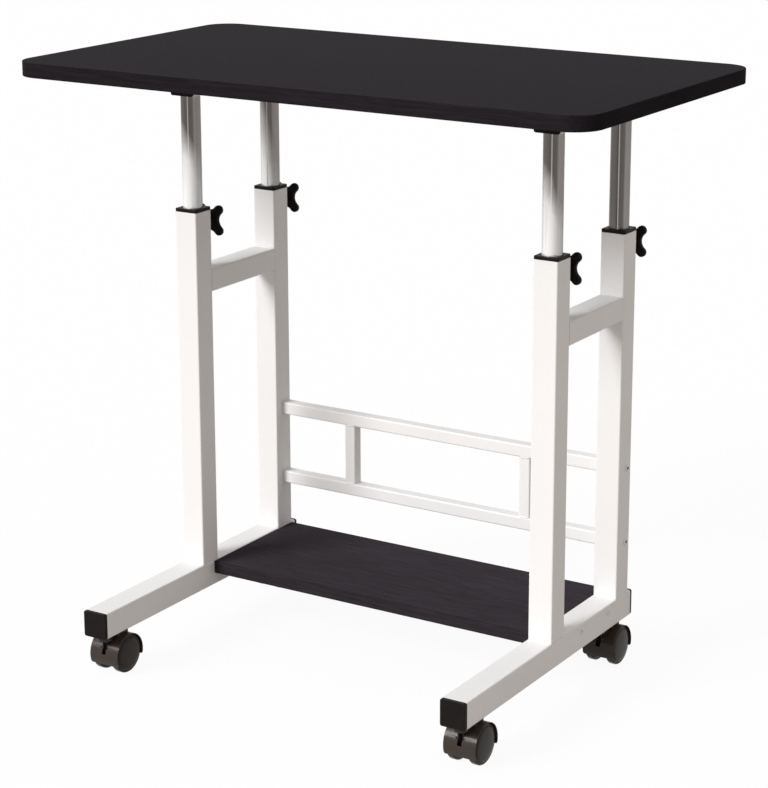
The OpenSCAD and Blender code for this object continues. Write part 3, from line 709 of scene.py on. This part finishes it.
def roundEnds(hood):  # rounds the four lower corners off
    c = caster
    size = {"block": (9, 14, 9), "out": 4.5, "below": 1.2, "above": 3.3, "drum": 12, "past": 6.0}
    tools = []
    for level, y in ((c["front"], -size["past"]), (c["rear"], 2 * c["trail"] + size["past"])):
        for sign in (-1, 1):
            x = sign * (c["half"] - c["endRound"])
            tool = block("corner", size["block"], (x + sign * size["out"], y,
                                                   level - size["below"])).done()
            drum = rod("drum", c["endRound"], -size["drum"], size["drum"], 40)
            place = (x * mm, y * mm, (level + size["above"]) * mm)
            tools.append(combine(tool, moved(drum, place, turned("X", 90))))
    for tool in tools:
        combine(hood, tool)


def makeWeb():  # the middle wall between the wheels
    c = caster
    rim, steps = c["hood"] - 0.15, 48
    front, rear = hoodArc(rim)
    outline = []
    for i in range(steps + 1):
        a = front + (rear - front) * i / steps
        outline.append((c["trail"] - rim * math.cos(a), c["axle"] + rim * math.sin(a)))
    outline += [(c["webRear"], c["rear"]), (c["webRear"], c["webLow"]),
                (c["webFront"], c["webLow"]), (c["webFront"], c["front"])]
    return plate("web", [(-c["web"], y, z) for y, z in outline], (2 * c["web"], 0, 0)).done(30)


def makeHood():
    c = caster
    saddle = {"size": (26, 19.8, 24.5), "place": (0, 21.9, 42.85), "corner": 2.2, "round": 1.2}
    hood = makeFender()
    roundEnds(hood)
    combine(hood, makeWeb(), "UNION")
    neck, low, top = c["neck"], c["neckLow"], c["neckTop"]
    combine(hood, lathe("neck", [(0, 44), (neck - 0.8, low), (neck - 0.2, low + 0.2),
                                 (neck, low + 0.8), (neck, top - 0.8), (neck - 0.25, top - 0.2),
                                 (neck - 0.9, top), (0, top)]), "UNION")
    combine(hood, rod("socket", c["socket"], c["slotLow"] - 2, 50, 32), "UNION")
    shape = slab("saddle", saddle["size"], saddle["place"], saddle["corner"], 0, steps=4)
    shape.facing((0, 0, 1)).rim().bevel(saddle["round"] * mm, 3)
    combine(hood, shape.done(), "UNION")
    wide, narrow = c["slot"]
    foot, head = c["slotLow"], low - 0.02
    outline = [(-wide, foot + 0.6), (-wide + 0.6, foot), (wide - 0.6, foot), (wide, foot + 0.6),
               (narrow, head), (-narrow, head)]
    combine(hood, plate("slot", [(x, -12, z) for x, z in outline], (0, 11, 0)).done())
    combine(hood, block("front", (12, 11, 11.4), (0, -6.5, low - 5.72)).done())
    pin = c["pin"]
    combine(hood, lathe("bore", [(0, 32.1), (pin, 32.1), (pin, top - 0.5), (pin + 0.5, top + 0.01),
                                 (pin + 0.5, 54), (0, 54)], 32))
    axle = rod("axle", c["axleRadius"], -30, 30, 32)
    combine(hood, moved(axle, (0, c["trail"] * mm, c["axle"] * mm), turned("Y", 90)))
    return joined("hood", [hood], 32)


def makeWheel():  # inner face at x = 0, domed outer face towards +X
    r, w = caster["wheel"], caster["wheelWide"]
    hub, deep = caster["axleRadius"], 8.6
    inside = [(hub, deep), (hub, 0.6), (3.6, 0.0), (7.0, 0.0), (7.4, 0.4), (7.6, 2.2), (8.4, 2.8),
              (19.2, 2.8), (20.0, 2.2), (20.3, 0.5), (20.8, 0.1), (22.4, 0.0), (23.7, 0.35),
              (24.7, 1.2)]
    tread = [(r - 0.1, 2.3), (r, 3.2), (r, 8.2), (r - 0.12, 9.0), (r - 0.55, 9.8),
             (r - 1.3, 10.4), (r - 2.1, 10.62), (r - 2.7, 10.55), (r - 3.0, 10.2),
             (r - 3.4, 10.16), (r - 3.75, 10.5), (r - 4.1, 11.0), (r - 4.9, 11.45)]
    dome = [(18.6, 11.82), (16.0, 12.1), (12.0, 12.35), (8.0, 12.5), (4.0, w - 0.02), (0, w)]
    profile = (inside + tread + dome)[::-1]
    wheel = lathe("wheel", profile + [(0, deep)], 96, 32)
    return moved(wheel, turn=turned("Y", 90))


def makeStem():  # pin below, flange under the foot, upper pin inside it
    pin, flange, upper = 3.0, 10.4, 4.0
    return lathe("stem", [(0, 32.4), (pin - 0.6, 32.4), (pin, 33.0), (pin, 52.7),
                          (flange - 0.6, 52.7), (flange - 0.2, 52.9), (flange, 53.4),
                          (flange, 55.7), (flange - 0.15, 56.3), (flange - 0.6, 56.7),
                          (upper, 56.7), (upper, 69.9), (upper - 0.8, 70.7), (0, 70.7)], 64)


def makeCasters():
    slotShade = {"wide": 4.3, "front": -12, "rear": 1.5, "low": 28, "high": 47.6, "stemTop": 52.6}
    hood, wheel, stem = makeHood(), makeWheel(), makeStem()
    stems = []
    for corner in corners:
        front, side = corner.split("_")
        x = desk["span"] * (1 if side == "right" else -1)
        y = desk["stems"][0 if front == "front" else 1]
        name = titled(corner)
        piece = settle(twin(hood, "casterHood" + name, (x, y, 0)), hoodSmokeLifted, "caster_" + corner,
                       "hood_" + corner, slot="smoke_plastic")

        def inSlot(face):  # the inside of the slot in front of the pin, painted near black as shade
            around = [piece.data.vertices[i].co for i in face.vertices]
            return all(abs(v.x - x) < slotShade["wide"] * mm
                       and slotShade["front"] * mm < v.y - y < slotShade["rear"] * mm
                       and slotShade["low"] * mm < v.z < slotShade["high"] * mm for v in around)
        paintFaces(piece, shadeBlack, inSlot)
        stems.append(twin(stem, "stem", (x, y, 0)))
        for where in ("outer", "inner"):
            sign = (1 if side == "right" else -1) * (1 if where == "outer" else -1)
            place = (x + sign * caster["gap"] * mm, y + caster["trail"] * mm, caster["axle"] * mm)
            piece = twin(wheel, "wheel" + name + where.title(), place,
                         turned("Z", 0 if sign > 0 else 180))
            settle(piece, smoke, "roller_%s_%s" % (corner, where),
                   "wheel_%s_%s" % (corner, where), slot="smoke_plastic")
    stems = settle(joined("casterStems", stems), darkSteel, "base", "caster_stems",
                   slot="zinc_steel")
    # the pin below the flange is painted near black, as shade in the slot
    paintFaces(stems, shadeBlack, lambda face: face.center.z < slotShade["stemTop"] * mm)
    drop(hood, wheel, stem)


# Screws, bolts and weld seams

def makeScrews():  # cross-head screws through the feet into the shelf
    size = {"long": 60.0, "point": 1.6, "shank": 2.5, "head": 4.2, "high": 1.4,
            "cross": (4.4, 0.8, 1.6)}
    low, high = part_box("shelf_screws")
    shank, head, top = size["shank"], size["head"], size["high"]
    screw = lathe("screw", [(0, -size["long"]), (size["point"], -size["long"]),
                            (shank, 2.5 - size["long"]), (shank, 0), (head, 0), (head, 0.35),
                            (head - 0.3, 0.8), (3.0, 1.2), (1.6, top - 0.02), (0, top)], 32)
    for turn in (0, 90):
        combine(screw, block("cross", size["cross"], (0, 0, top - 0.05), turn).done())
    z = (low[2] + high[2]) / 2
    made = [twin(screw, "screw", (sign * (desk["span"] + desk["footHalf"]), y, z),
                 turned("Y", 90 * sign))
            for side, sign in sides for y in (low[1] + head * mm, high[1] - head * mm)]
    drop(screw)
    settle(joined("shelfScrews", made, 35), paint, "base", "shelf_screws", slot="white_steel")


def makeBolts():  # button-head bolts that hold the back bars
    size = {"shank": 3.0, "head": 4.5, "high": 1.6, "long": 48.0, "key": 2.3, "keyLong": 3,
            "keyLow": 0.35}
    low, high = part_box("bar_bolts")
    shank, head, top, end = size["shank"], size["head"], size["high"], -size["long"]
    bolt = lathe("bolt", [(0, end), (shank - 0.6, end), (shank, end + 0.6), (shank, 0), (head, 0),
                          (head, 0.35), (head - 0.25, 0.8), (head - 0.9, 1.25),
                          (head - 1.6, 1.5), (head - 2, top), (0, top)])
    key = Shape("key", bpy.ops.mesh.primitive_cylinder_add, vertices=6, radius=size["key"] * mm,
                depth=size["keyLong"] * mm,
                location=(0, 0, (size["keyLow"] + size["keyLong"] / 2) * mm)).done(20)
    combine(bolt, key)
    face = high[0] - top * mm
    y = (low[1] + high[1]) / 2
    levels = (low[2] + head * mm, high[2] - head * mm)
    made = [twin(bolt, "bolt", (sign * face, y, z), turned("Y", 90 * sign))
            for side, sign in sides for z in levels]
    drop(bolt)
    piece = settle(joined("barBolts", made, 35), zinc, "base", "bar_bolts", slot="zinc_steel")

    def inKey(part):  # the inside of the hexagon recess, painted near black as shade
        across = min(math.hypot(part.center.y - y, part.center.z - z) for z in levels)
        outside = abs(part.center.x) - face
        return across < (size["key"] - 0.05) * mm and 0.2 * mm < outside < (top - 0.02) * mm
    paintFaces(piece, shadeBlack, inKey)


def seamBar(name, length, radius=1.5, pitch=1.7):  # a short rippled weld seam along Z
    size = {"ripple": 0.10, "taper": 1.6 / 2.5, "blunt": 0.25}
    count = max(6, int(length / pitch) * 4)
    profile = [(0, -length / 2)]
    for i in range(count + 1):
        z = -length / 2 + length * i / count
        ends = min(1.0, size["taper"] * (length / 2 - abs(z)) + size["blunt"])
        wave = 1 + size["ripple"] * math.cos(z / pitch * math.tau)
        profile.append((radius * ends * wave, z))
    return lathe(name, profile + [(0, length / 2)], 12, 60)


def seamRing(name, major, minor, waves):
    ripple = 0.12
    shape = Shape(name, bpy.ops.mesh.primitive_torus_add, major_radius=major * mm,
                  minor_radius=minor * mm, major_segments=waves * 4, minor_segments=10)
    mesh = bmesh.from_edit_mesh(shape.piece.data)
    for vert in mesh.verts:
        angle = math.atan2(vert.co.y, vert.co.x)
        core = Vector((math.cos(angle), math.sin(angle), 0)) * major * mm
        vert.co = core + (vert.co - core) * (1 + ripple * math.cos(angle * waves))
    bmesh.update_edit_mesh(shape.piece.data)
    return shape.done(60)


def makeSeams():
    size = {"post": 28, "strut": (13, 1.1, 1.5), "nut": (7.1, 1.0, 14), "tube": (12.8, 1.15, 24),
            "strutHalf": 8, "strutSunk": 0.3}
    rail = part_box("side_rail_left")
    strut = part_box("back_strut_left")
    lower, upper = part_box("back_bar_lower"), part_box("back_bar_upper")
    half = desk["postHalf"]
    front, rear = desk["posts"]
    across, short = seamBar("across", size["post"]), seamBar("short", *size["strut"])
    nut, tube = seamRing("nut", *size["nut"]), seamRing("tube", *size["tube"])
    strutX = abs(strut[0][0] + strut[1][0]) / 2
    strutY = (strut[0][1] + strut[1][1]) / 2
    sunk = size["strutSunk"] * mm
    onY = turned("Y", 90)
    made, top = [], []
    for side, sign in sides:
        x = sign * desk["span"]
        for y in desk["posts"]:
            for step in (-1, 1):
                made.append(twin(across, "seam", (x, y + step * half, desk["footTop"]), onY))
            made.append(twin(nut, "seam", (x, y + half, desk["knobHeight"]), turned("X", 90)))
            top.append(twin(tube, "seam", (x, y, desk["railBottom"])))
        for y in (front + half, rear - half):
            for z in (rail[1][2], rail[0][2]):
                made.append(twin(across, "seam", (x, y, z), onY))
        for z in (lower[1][2], upper[0][2]):
            for y in (strut[0][1] + sunk, strut[1][1] - sunk):
                made.append(twin(short, "seam", (sign * strutX, y, z), onY))
            for step in (-1, 1):
                made.append(twin(short, "seam", (sign * strutX + step * size["strutHalf"] * mm,
                                                 strutY, z), turned("X", 90)))
    drop(across, short, nut, tube)
    settle(joined("frameSeams", made), paint, "base", slot="white_steel")
    settle(joined("railSeams", top), paint, "top", slot="white_steel")


makeDeskBoard()
makeShelf()
makeCaps()
makeCollars()
print("boards, caps and collars made")
makeKnobs()
makeCasters()
print("knobs and casters made")
makeScrews()
makeBolts()
makeSeams()
print("screws, bolts and seams made")


# Floor, light and camera

stage = {"floor": 30.0, "floorColour": (0.435, 0.395, 0.355), "floorSeen": (0.9, 0.9, 0.9),
         "floorGlow": 0.94, "ambient": 0.52, "room": (1.0, 0.955, 0.915), "white": (1.0, 1.0, 1.0),
         "key": 0.955, "keyFrom": (-0.42, -0.81, 0.60), "keyWide": 26,
         "keyColour": (0.985, 0.99, 1.0)}


def seenPlainly(f):  # 1 for the camera, and for what metal and glass mirror
    camera, glossy, through = [f.node("LightPath", output="Is %s Ray" % kind)
                               for kind in ("Camera", "Glossy", "Transmission")]
    return camera.calc("MAXIMUM", glossy).calc("MAXIMUM", through)


def layFloor():
    bpy.ops.object.select_all(action="DESELECT")
    bpy.ops.mesh.primitive_plane_add(size=stage["floor"] * 2, location=(0, 0, 0))
    floor = bpy.context.object
    floor.name = "floor"
    f = Finish("pale_floor")
    seen = seenPlainly(f)
    glow = f.node("Emission", {}, {"Color": stage["white"], "Strength": 1.0})
    shade = f.mix(seen, stage["floorColour"], stage["floorSeen"])
    matt = f.node("BsdfDiffuse", {}, {"Color": shade})
    both = f.node("MixShader", {}, {0: seen * stage["floorGlow"], 1: matt, 2: glow})
    f.node("OutputMaterial", {}, {"Surface": both})
    floor.data.materials.append(f.owner)


def lightWorld():
    world = bpy.data.worlds.new("studio")
    bpy.context.scene.world = world
    f = Finish("studio", world)
    seen = seenPlainly(f)
    room = f.node("Background", {}, {"Color": stage["room"], "Strength": stage["ambient"]})
    back = f.node("Background", {}, {"Color": stage["white"], "Strength": 1.0})
    both = f.node("MixShader", {}, {0: seen, 1: room, 2: back})
    f.node("OutputWorld", {}, {"Surface": both})


def hangKey():
    lamp = bpy.data.lights.new("key", "SUN")
    lamp.energy = stage["key"] * math.pi
    lamp.angle = math.radians(stage["keyWide"])
    lamp.color = stage["keyColour"]
    key = bpy.data.objects.new("key", lamp)
    bpy.context.scene.collection.objects.link(key)
    key.rotation_mode = "QUATERNION"
    key.rotation_quaternion = Vector(stage["keyFrom"]).to_track_quat("Z", "Y")


def setCamera():  # place in metres, focal length and centre in pixels of the photograph
    view = {"place": (1.52195, -2.40065, 1.1882), "azimuth": 31.5346, "pitch": -14.5653,
            "focal": 2345.40, "centre": (405.23, 323.36), "size": (768, 788), "sensor": 36,
            "clip": (0.05, 60)}
    lens = bpy.data.cameras.new("camera")
    wide, high = view["size"]
    lens.sensor_fit = "AUTO"
    lens.sensor_width = view["sensor"]
    lens.lens = view["focal"] / high * view["sensor"]
    lens.shift_x = (wide / 2 - view["centre"][0]) / high
    lens.shift_y = (view["centre"][1] - high / 2) / high
    lens.clip_start, lens.clip_end = view["clip"]
    camera = bpy.data.objects.new("camera", lens)
    bpy.context.scene.collection.objects.link(camera)
    camera.location = view["place"]
    camera.rotation_euler = (math.radians(90 + view["pitch"]), 0, math.radians(view["azimuth"]))
    bpy.context.scene.camera = camera


layFloor()
lightWorld()
hangKey()
setCamera()
bpy.context.scene.view_settings.view_transform = "Standard"
print("stage set")
